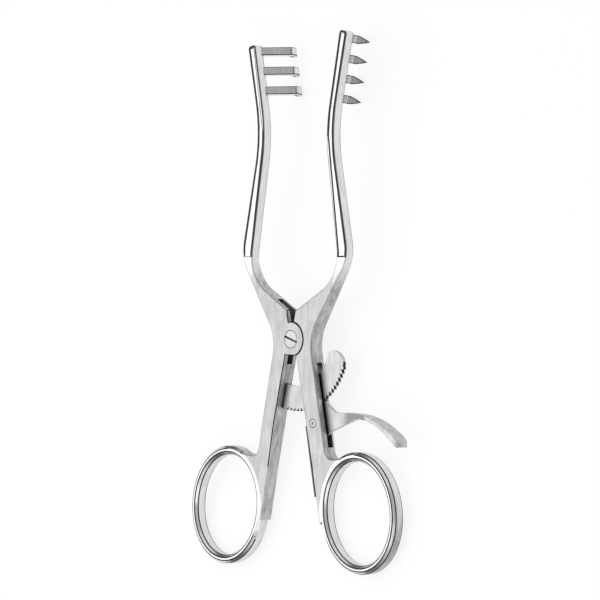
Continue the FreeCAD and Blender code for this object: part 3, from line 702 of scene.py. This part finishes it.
@dataclass
class EasedPiece:
    """A frame node with its faces merged and its edges eased.

    Attributes:
        node: the frame's node.
        body: the body it rides on.
        slot: the record's material slot; not used.
        finish: the steel finish.
        edge: the finish of the eased edges, near black: a painted dark reflection.
        ease: width of the eased edge, millimetres.
        steps: facets across the eased edge.
        forging: the ring and arm of a forging.
        flanks: radii between which upright faces are tooth flanks with a painted dark reflection,
            millimetres.
        upright: a face that faces the front by less than this is upright.
        weld: corners nearer than this become one, metres.
        flat_angle: faces that turn by less than this become one, degrees.
        smooth_angle: edges sharper than this stay crisp, degrees.
        broad_angle: the same where a broad face ends.
        broad_face: faces larger than this are broad, square metres.
    """

    node: str
    body: str
    slot: str
    finish: SteelFinish
    edge: SteelFinish
    ease: float
    steps: int = 2
    forging: Forging | None = None
    flanks: tuple[float, float] | None = None
    upright: float = 0.3
    weld: float = 2.0e-6
    flat_angle: float = 0.4
    smooth_angle: float = 30.0
    broad_angle: float = 12.0
    broad_face: float = 6.0e-6

    def build(self, bench: Bench) -> bpy.types.Object:
        """Makes the piece and puts it in the node's place.

        Args:
            bench: the instrument's directions.

        Returns:
            The finished object.
        """
        mesh = self._merged_copy(bench)
        piece = bpy.data.objects.new(f"{self.node}_dressed", mesh)
        bpy.context.scene.collection.objects.link(piece)
        mesh.materials.append(self.finish.material(bench))
        # The second slot is the near black edge finish: a painted dark reflection.
        mesh.materials.append(self.edge.material(bench))
        if self.ease:
            self._ease_edges(piece)
        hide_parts(self.node)
        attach(piece, self.body)
        return piece

    def _merged_copy(self, bench: Bench) -> bpy.types.Mesh:
        """Copies the node's mesh, welds it, joins flat faces and marks what is ground round.

        Args:
            bench: the instrument's directions.

        Returns:
            The new mesh, with its faces of painted dark reflection and its eased edges marked.
        """
        work = bmesh.new()
        work.from_mesh(frame["nodes"][self.node].data)
        bmesh.ops.remove_doubles(work, verts=work.verts, dist=self.weld)
        bmesh.ops.dissolve_limit(work, angle_limit=math.radians(self.flat_angle),
                                 verts=work.verts, edges=work.edges)
        weight = work.edges.layers.float.new("bevel_weight_edge")
        for edge in work.edges:
            turn = math.degrees(edge.calc_face_angle(math.pi))
            broad = max(face.calc_area() for face in edge.link_faces) > self.broad_face
            edge.smooth = turn < (self.broad_angle if broad else self.smooth_angle)
            crisp = turn > self.smooth_angle and edge.is_manifold
            if crisp and (self.forging is None or self.forging.eases(edge, bench)):
                edge[weight] = 1.0
        # Faces that get a painted dark reflection take the near black edge finish.
        for face in work.faces:
            face.smooth = True
            face.material_index = int(self._gets_painted_dark(face, bench))
        if self.forging:
            self.forging.mark_borders(work, bench)
        mesh = bpy.data.meshes.new(f"{self.node}_dressed")
        work.to_mesh(mesh)
        work.free()
        return mesh

    def _gets_painted_dark(self, face: bmesh.types.BMFace, bench: Bench) -> bool:
        """Tells whether a face gets the edges' finish, a painted dark reflection: arm roundings
        and tooth flanks.

        Args:
            face: a face of the welded mesh.
            bench: the instrument's directions.

        Returns:
            True for a face painted dark.
        """
        if self.forging:
            return self.forging.is_rounding(face, bench)
        if not self.flanks:
            return False
        # The bar's tooth flanks get a painted dark reflection.
        middle = bench.measure(face.calc_center_median())
        upright = abs(face.normal.dot(bench.front)) < self.upright
        return upright and self.flanks[0] < middle.xy.length < self.flanks[1]

    def _ease_edges(self, piece: bpy.types.Object) -> None:
        """Rounds the marked edges by the width of a polished corner and gives the rounding the
        near black edge finish, a painted dark reflection.

        Args:
            piece: the object whose edges are marked.
        """
        bevel = piece.modifiers.new("Eased edges", "BEVEL")
        bevel.width = self.ease * MM
        # The rounded faces take the near black edge finish: a painted dark reflection.
        bevel.material = 1
        bevel.segments = self.steps
        bevel.limit_method = "WEIGHT"
        bevel.use_clamp_overlap = self.forging is None
        flat = piece.modifiers.new("Flat faces stay flat", "WEIGHTED_NORMAL")
        flat.mode = "FACE_AREA"
        flat.weight = 100
        flat.keep_sharp = True
        piece.data = evaluated_mesh(piece)
        piece.modifiers.clear()


def evaluated_mesh(piece: bpy.types.Object) -> bpy.types.Mesh:
    """The mesh that a piece's modifiers give.

    Args:
        piece: an object of the scene.

    Returns:
        A new mesh.
    """
    depsgraph = bpy.context.evaluated_depsgraph_get()
    return bpy.data.meshes.new_from_object(piece.evaluated_get(depsgraph))


@dataclass
class LeafSpring:
    """The flat spring on the slotted handle, a strip swept by geometry nodes.

    Attributes:
        node: the frame's node whose length, thickness and seat it takes.
        body: the body that would hold its foot; not used.
        pusher: the body whose heel would push its free end off the wall; not used.
        finish: the spring's finish.
        width: across the handle's wall, millimetres.
        bend: shares of its length between which it would bend; not used, the strip stays straight.
        pieces: straight pieces that the strip is made of.
    """

    node: str
    body: str
    pusher: str
    finish: SteelFinish
    width: float = 4.3
    bend: tuple[float, float] = (0.15, 0.75)
    pieces: int = 20
    tree_name: str = "Leaf spring strip"

    def build(self, bench: Bench) -> bpy.types.Object:
        """Sweeps the strip along the handle's wall.

        Args:
            bench: the instrument's directions.

        Returns:
            The finished object.
        """
        seat = frame["nodes"][self.node].data
        broadest = max(seat.polygons, key=lambda face: face.area)
        off_wall = broadest.normal.copy()
        if off_wall.dot(bench.across) > 0:
            off_wall.negate()
        upward = bench.front.cross(off_wall).normalized()
        if upward.dot(bench.along) < 0:
            upward.negate()
        spans = [self._span(seat, way) for way in (upward, off_wall, bench.front)]
        low = sum((way * span[0] for way, span in zip((upward, off_wall), spans)), Vector())
        low += bench.front * (sum(spans[2]) / 2)
        mesh = bpy.data.meshes.new("leaf_spring_dressed")
        piece = bpy.data.objects.new("leaf_spring_dressed", mesh)
        bpy.context.scene.collection.objects.link(piece)
        sweep = piece.modifiers.new("Sweep", "NODES")
        sweep.node_group = self._tree()
        values = {"Length": spans[0][1] - spans[0][0], "Thickness": spans[1][1] - spans[1][0],
                  "Width": self.width * MM, "Steel": self.finish.material(bench)}
        for socket in sweep.node_group.interface.items_tree:
            if socket.name in values:
                sweep[socket.identifier] = values[socket.name]
        strip = evaluated_mesh(piece)
        piece.modifiers.clear()
        turn = Matrix((upward, off_wall, upward.cross(off_wall))).transposed()
        strip.transform(Matrix.Translation(low) @ turn.to_4x4())
        piece.data = strip
        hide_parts(self.node)
        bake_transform(piece)
        return piece

    def _span(self, seat: bpy.types.Mesh, way: Vector) -> tuple[float, float]:
        """Finds how far a mesh reaches along a direction.

        Args:
            seat: the mesh.
            way: the direction.

        Returns:
            The lowest and the highest reach.
        """
        reaches = [corner.co.dot(way) for corner in seat.vertices]
        return min(reaches), max(reaches)

    def _tree(self) -> bpy.types.NodeTree:
        """The node tree: a line along the wall, swept by an upright rectangle, in one steel.

        Returns:
            The tree, with its measures as named inputs.
        """
        tree = bpy.data.node_groups.new(self.tree_name, "GeometryNodeTree")
        sockets = tree.interface
        sockets.new_socket("Geometry", in_out="INPUT", socket_type="NodeSocketGeometry")
        for name in ("Length", "Thickness", "Width"):
            sockets.new_socket(name, in_out="INPUT", socket_type="NodeSocketFloat")
        sockets.new_socket("Steel", in_out="INPUT", socket_type="NodeSocketMaterial")
        sockets.new_socket("Geometry", in_out="OUTPUT", socket_type="NodeSocketGeometry")
        build = NodeTree(tree)
        start = build.add("NodeGroupInput").outputs
        line = build.add("GeometryNodeCurvePrimitiveLine")
        for name, share in (("Start", 0.0), ("End", 1.0)):
            point = build.add("ShaderNodeCombineXYZ")
            build.join(build.maths("MULTIPLY", start["Length"], share), point.inputs["X"])
            build.join(build.maths("MULTIPLY", start["Thickness"], 0.5), point.inputs["Y"])
            build.join(point.outputs[0], line.inputs[name])
        stepped = build.add("GeometryNodeResampleCurve")
        stepped.inputs["Count"].default_value = self.pieces + 1
        build.join(line.outputs[0], stepped.inputs["Curve"])
        section = build.add("GeometryNodeCurvePrimitiveQuadrilateral")
        build.join(start["Thickness"], section.inputs["Width"])
        build.join(start["Width"], section.inputs["Height"])
        sweep = build.add("GeometryNodeCurveToMesh")
        build.join(stepped.outputs[0], sweep.inputs["Curve"])
        build.join(section.outputs[0], sweep.inputs["Profile Curve"])
        sweep.inputs["Fill Caps"].default_value = True
        crisp = build.add("GeometryNodeSetShadeSmooth")
        crisp.inputs["Shade Smooth"].default_value = False
        whole = build.add("GeometryNodeRealizeInstances")
        steel = build.add("GeometryNodeSetMaterial")
        end = build.add("NodeGroupOutput")
        build.join(sweep.outputs[0], crisp.inputs[0])
        build.join(crisp.outputs[0], whole.inputs[0])
        build.join(whole.outputs[0], steel.inputs["Geometry"])
        build.join(start["Steel"], steel.inputs["Material"])
        build.join(steel.outputs[0], end.inputs["Geometry"])
        return tree


@dataclass
class PhotoCamera:
    """The camera that took the photograph, as fitted to the instrument's outline.

    Attributes:
        azimuth: turn from the front face towards the four-prong side, degrees.
        elevation: tilt towards the prongs, degrees.
        roll: turn about the line of sight, degrees.
        turn: turn of the instrument in its own plane, degrees.
        distance: from the joint's front face, millimetres.
        focal_pixels: focal length in pixels of the picture.
        picture: width of the picture, pixels.
        pivot_pixel: where the joint's middle falls.
        sensor: sensor width, millimetres.
        joint_half: from the pivot to the joint's front face, millimetres.
        clip: nearest and farthest distance drawn, metres.
    """

    azimuth: float = 45.085
    elevation: float = 0.449
    roll: float = -0.226
    turn: float = -0.484
    distance: float = 961.6
    focal_pixels: float = 3684.0
    picture: float = 600.0
    pivot_pixel: tuple[float, float] = (290.575, 339.172)
    sensor: float = 36.0
    joint_half: float = 2.25
    clip: tuple[float, float] = (0.05, 20.0)

    def build(self, bench: Bench) -> bpy.types.Object:
        """Makes the camera and looks through it.

        Args:
            bench: the instrument's directions.

        Returns:
            The camera object.
        """
        az, el, roll, turn = (math.radians(v) for v in
                              (self.azimuth, self.elevation, self.roll, self.turn))
        sight = Vector((-math.sin(az) * math.cos(el), -math.sin(el),
                        -math.cos(az) * math.cos(el)))
        right = Vector((math.cos(az), 0.0, -math.sin(az)))
        up = right.cross(sight)
        if up.y < 0:
            up = -up
        rolled_right = right * math.cos(roll) - up * math.sin(roll)
        rolled_up = right * math.sin(roll) + up * math.cos(roll)
        unturn = Matrix.Rotation(-turn, 3, "Z")
        axes = [bench.direction(*(unturn @ v)) for v in (rolled_right, rolled_up, -sight)]
        target = bench.point(0, 0, self.joint_half)
        place = target + axes[2] * self.distance * MM
        data = bpy.data.cameras.new("Photo camera")
        data.sensor_width = self.sensor
        data.lens = self.sensor * self.focal_pixels / self.picture
        data.clip_start, data.clip_end = self.clip
        camera = bpy.data.objects.new("Photo camera", data)
        bpy.context.scene.collection.objects.link(camera)
        aim = Matrix((axes[0], axes[1], axes[2])).transposed()
        middle = self.picture / 2
        pan = math.atan((self.pivot_pixel[0] - middle) / self.focal_pixels)
        tilt = math.atan((self.pivot_pixel[1] - middle) / self.focal_pixels)
        swing = Matrix.Rotation(pan, 3, "Y") @ Matrix.Rotation(tilt, 3, "X")
        camera.matrix_world = Matrix.Translation(place) @ (aim @ swing).to_4x4()
        bpy.context.scene.camera = camera
        return camera


@dataclass(frozen=True)
class Lamp:
    """A soft square lamp that is aimed at the joint.

    Attributes:
        name: the lamp's name.
        place: where it stands, in the instrument's own millimetres.
        size: side of the square, metres.
        watts: its power.
    """

    name: str
    place: tuple[float, float, float]
    size: float
    watts: float

    def build(self, bench: Bench) -> None:
        """Adds the lamp.

        Args:
            bench: the instrument's directions.
        """
        data = bpy.data.lights.new(self.name, "AREA")
        data.size = self.size
        data.energy = self.watts
        lamp = bpy.data.objects.new(self.name, data)
        bpy.context.scene.collection.objects.link(lamp)
        place = bench.point(*self.place)
        lamp.location = place
        lamp.rotation_euler = (place - bench.pivot).to_track_quat("Z", "Y").to_euler()


@dataclass
class Studio:
    """A plain pale table under a soft white roof, in a darker room.

    Attributes:
        table: half width of the table, metres.
        card: colour of the table.
        shadow: how much of the shadow the table keeps, 0 to 1.
        table_glow: brightness of the rest of the table.
        table_shine: how much of that glow reflections see.
        roof: brightness of the roof.
        room: brightness of the room below it.
        roof_edge: sines of the heights between which the roof fades into the room.
        gap_angle: half width of the gap in the roof where the picture is taken, degrees.
        gap_level: brightness left in the gap.
        lamps: the lamps.
    """

    table: float = 2.0
    card: tuple[float, float, float, float] = (0.9, 0.9, 0.9, 1.0)
    shadow: float = 0.30
    table_glow: float = 1.16
    table_shine: float = 0.7
    roof: float = 0.92
    room: float = 0.14
    roof_edge: tuple[float, float] = (0.26, 0.50)
    gap_angle: tuple[float, float] = (40.0, 26.0)
    gap_level: float = 0.68
    lamps: tuple[Lamp, ...] = (Lamp("Key", (-420, -20, 620), 0.6, 0.7),
                               Lamp("Fill", (500, -360, 520), 0.4, 0.3))

    def build(self, bench: Bench) -> None:
        """Makes the table, the lamps and the room.

        Args:
            bench: the instrument's directions.
        """
        self._table()
        self._room(bench)
        for lamp in self.lamps:
            lamp.build(bench)

    def _table(self) -> None:
        """Adds the table top, white to the camera and pale in reflections."""
        mesh = bpy.data.meshes.new("Table")
        half = self.table
        corners = [(-half, -half, 0), (half, -half, 0), (half, half, 0), (-half, half, 0)]
        mesh.from_pydata(corners, [], [(0, 1, 2, 3)])
        table = bpy.data.objects.new("Table", mesh)
        bpy.context.scene.collection.objects.link(table)
        material = bpy.data.materials.new("White card")
        material.use_nodes = True
        material.node_tree.nodes.clear()
        build = NodeTree(material.node_tree)
        card = build.add("ShaderNodeBsdfDiffuse")
        card.inputs["Color"].default_value = self.card
        glow = build.add("ShaderNodeEmission")
        glow.inputs["Strength"].default_value = self.table_glow
        rays = build.add("ShaderNodeLightPath")
        seen = build.maths("MAXIMUM", rays.outputs["Is Camera Ray"],
                           build.maths("MULTIPLY", rays.outputs["Is Glossy Ray"],
                                       self.table_shine))
        mix = build.add("ShaderNodeMixShader")
        build.join(build.maths("MULTIPLY", seen, 1.0 - self.shadow), mix.inputs[0])
        build.join(card.outputs[0], mix.inputs[1])
        build.join(glow.outputs[0], mix.inputs[2])
        end = build.add("ShaderNodeOutputMaterial")
        build.join(mix.outputs[0], end.inputs["Surface"])
        mesh.materials.append(material)

    def _room(self, bench: Bench) -> None:
        """Sets the surround: white roof, dark room, and the gap the picture is taken through.

        Args:
            bench: the instrument's directions.
        """
        world = bpy.data.worlds.new("Studio room")
        world.use_nodes = True
        world.node_tree.nodes.clear()
        build = NodeTree(world.node_tree)
        way = build.add("ShaderNodeTexCoord").outputs["Generated"]
        height = build.reach(way, Vector((0.0, 0.0, 1.0)))
        roof = build.remap(height, *self.roof_edge, self.room, self.roof)
        gap_way = bench.direction(math.sqrt(0.5), 0.0, math.sqrt(0.5))
        wide, narrow = (math.cos(math.radians(angle)) for angle in self.gap_angle)
        gap = build.remap(build.reach(way, gap_way), wide, narrow, 1.0, self.gap_level)
        rays = build.add("ShaderNodeLightPath")
        bright = build.maths("MAXIMUM", build.maths("MULTIPLY", roof, gap),
                             rays.outputs["Is Camera Ray"])
        back = build.add("ShaderNodeBackground")
        build.join(bright, back.inputs["Strength"])
        end = build.add("ShaderNodeOutputWorld")
        build.join(back.outputs[0], end.inputs["Surface"])
        bpy.context.scene.world = world


@dataclass
class Retractor:
    """The whole instrument: two forgings, the joint's screw, the ratchet and the lever.

    Attributes:
        forged: finish of both halves and of what is ground flush with them.
        turned: finish of the screws and the pin.
        ground: finish of the ratchet bar and the lever.
        spring: finish of the leaf spring, near black: painted shade.
        edge: finish of eased edges, near black: a painted dark reflection.
        flush_reach: pieces seated flush in a half, each with a reach beyond its edge,
            millimetres.
    """

    forged: SteelFinish = SteelFinish("Forged steel", zones=(Zone.WORKED, Zone.POLISHED))
    turned: SteelFinish = SteelFinish("Turned steel", roughness=0.30, painted_shade_limits=(0.45, 0.85))
    ground: SteelFinish = SteelFinish("Ground steel", colour=(0.68, 0.68, 0.68), roughness=0.34,
                                      painted_shade_limits=(0.50, 0.92), wall_shade=0.2)
    # Near black steel: painted shade on the leaf spring.
    spring: SteelFinish = SteelFinish("Spring strip", colour=(0.10, 0.10, 0.11), roughness=0.30)
    # Near black with few reflections: a painted dark reflection along edges, arm borders and tooth
    # flanks.
    edge: SteelFinish = SteelFinish("Painted dark edge", colour=(0.07, 0.07, 0.07), roughness=0.3,
                                    metallic=0.12, specular=0.0)
    flush_reach: tuple[tuple[str, float], ...] = (
        ("ratchet_rivet_upper", 1.0), ("ratchet_rivet_lower", 1.0), ("pivot_screw", 2.7),
        ("lever_pin", 1.5))

    def flush_places(self, bench: Bench) -> tuple[tuple[Vector, float], ...]:
        """Measures where pieces are seated flush in the forgings.

        Args:
            bench: the instrument's directions.

        Returns:
            Each piece's middle, with a reach beyond its edge.
        """
        places = []
        for node, reach in self.flush_reach:
            low, high = (Vector(corner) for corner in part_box(node))
            places.append((bench.measure((low + high) / 2), reach))
        return tuple(places)

    def pieces(self, bench: Bench) -> list[EasedPiece]:
        """Lists every piece with its body and finish.

        Args:
            bench: the instrument's directions.

        Returns:
            The pieces, ready to be built.
        """
        left, right, lever = "left_body", "right_body", "lever_body"
        x, y = RING_MIDDLE
        flush = self.flush_places(bench)
        forgings = {"left_half": Forging((-x, y), flush), "right_half": Forging((x, y), flush)}
        rows = [
            ("left_half", left, "forged_steel", self.forged, 0.20),
            ("right_half", right, "forged_steel", self.forged, 0.20),
            ("pivot_screw", left, "turned_steel", self.turned, 0.05),
            ("ratchet_bar", left, "ground_steel", self.ground, 0.12),
            ("ratchet_rivet_upper", left, "turned_steel", self.forged, 0.0),
            ("ratchet_rivet_lower", left, "turned_steel", self.forged, 0.0),
            ("release_lever", lever, "ground_steel", self.ground, 0.16),
            ("lever_pin", right, "turned_steel", self.turned, 0.05),
            ("spring_screw", right, "turned_steel", self.turned, 0.05),
        ]
        flanks = {"ratchet_bar": TOOTH_FLANKS}
        return [EasedPiece(node, body, slot, finish, self.edge, ease,
                           forging=forgings.get(node), flanks=flanks.get(node))
                for node, body, slot, finish, ease in rows]

    def build(self, bench: Bench) -> list[bpy.types.Object]:
        """Builds every piece.

        Args:
            bench: the instrument's directions.

        Returns:
            The finished objects.
        """
        made = []
        for piece in self.pieces(bench):
            dressed = piece.build(bench)
            LOG.info("%s: %d faces", piece.node, len(dressed.data.polygons))
            made.append(dressed)
        leaf = LeafSpring("leaf_spring", "right_body", "lever_body", self.spring)
        made.append(leaf.build(bench))
        return made


def main() -> None:
    """Builds the instrument, the camera and the studio."""
    logging.basicConfig(level=logging.INFO, format="%(name)s: %(message)s")
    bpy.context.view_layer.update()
    scene = bpy.context.scene
    scene.view_settings.view_transform = "Standard"
    bench = Bench.from_hinge(frame["joints"], "main_hinge")
    PhotoCamera().build(bench)
    Studio().build(bench)
    Retractor().build(bench)


if __name__ == "__main__":
    main()
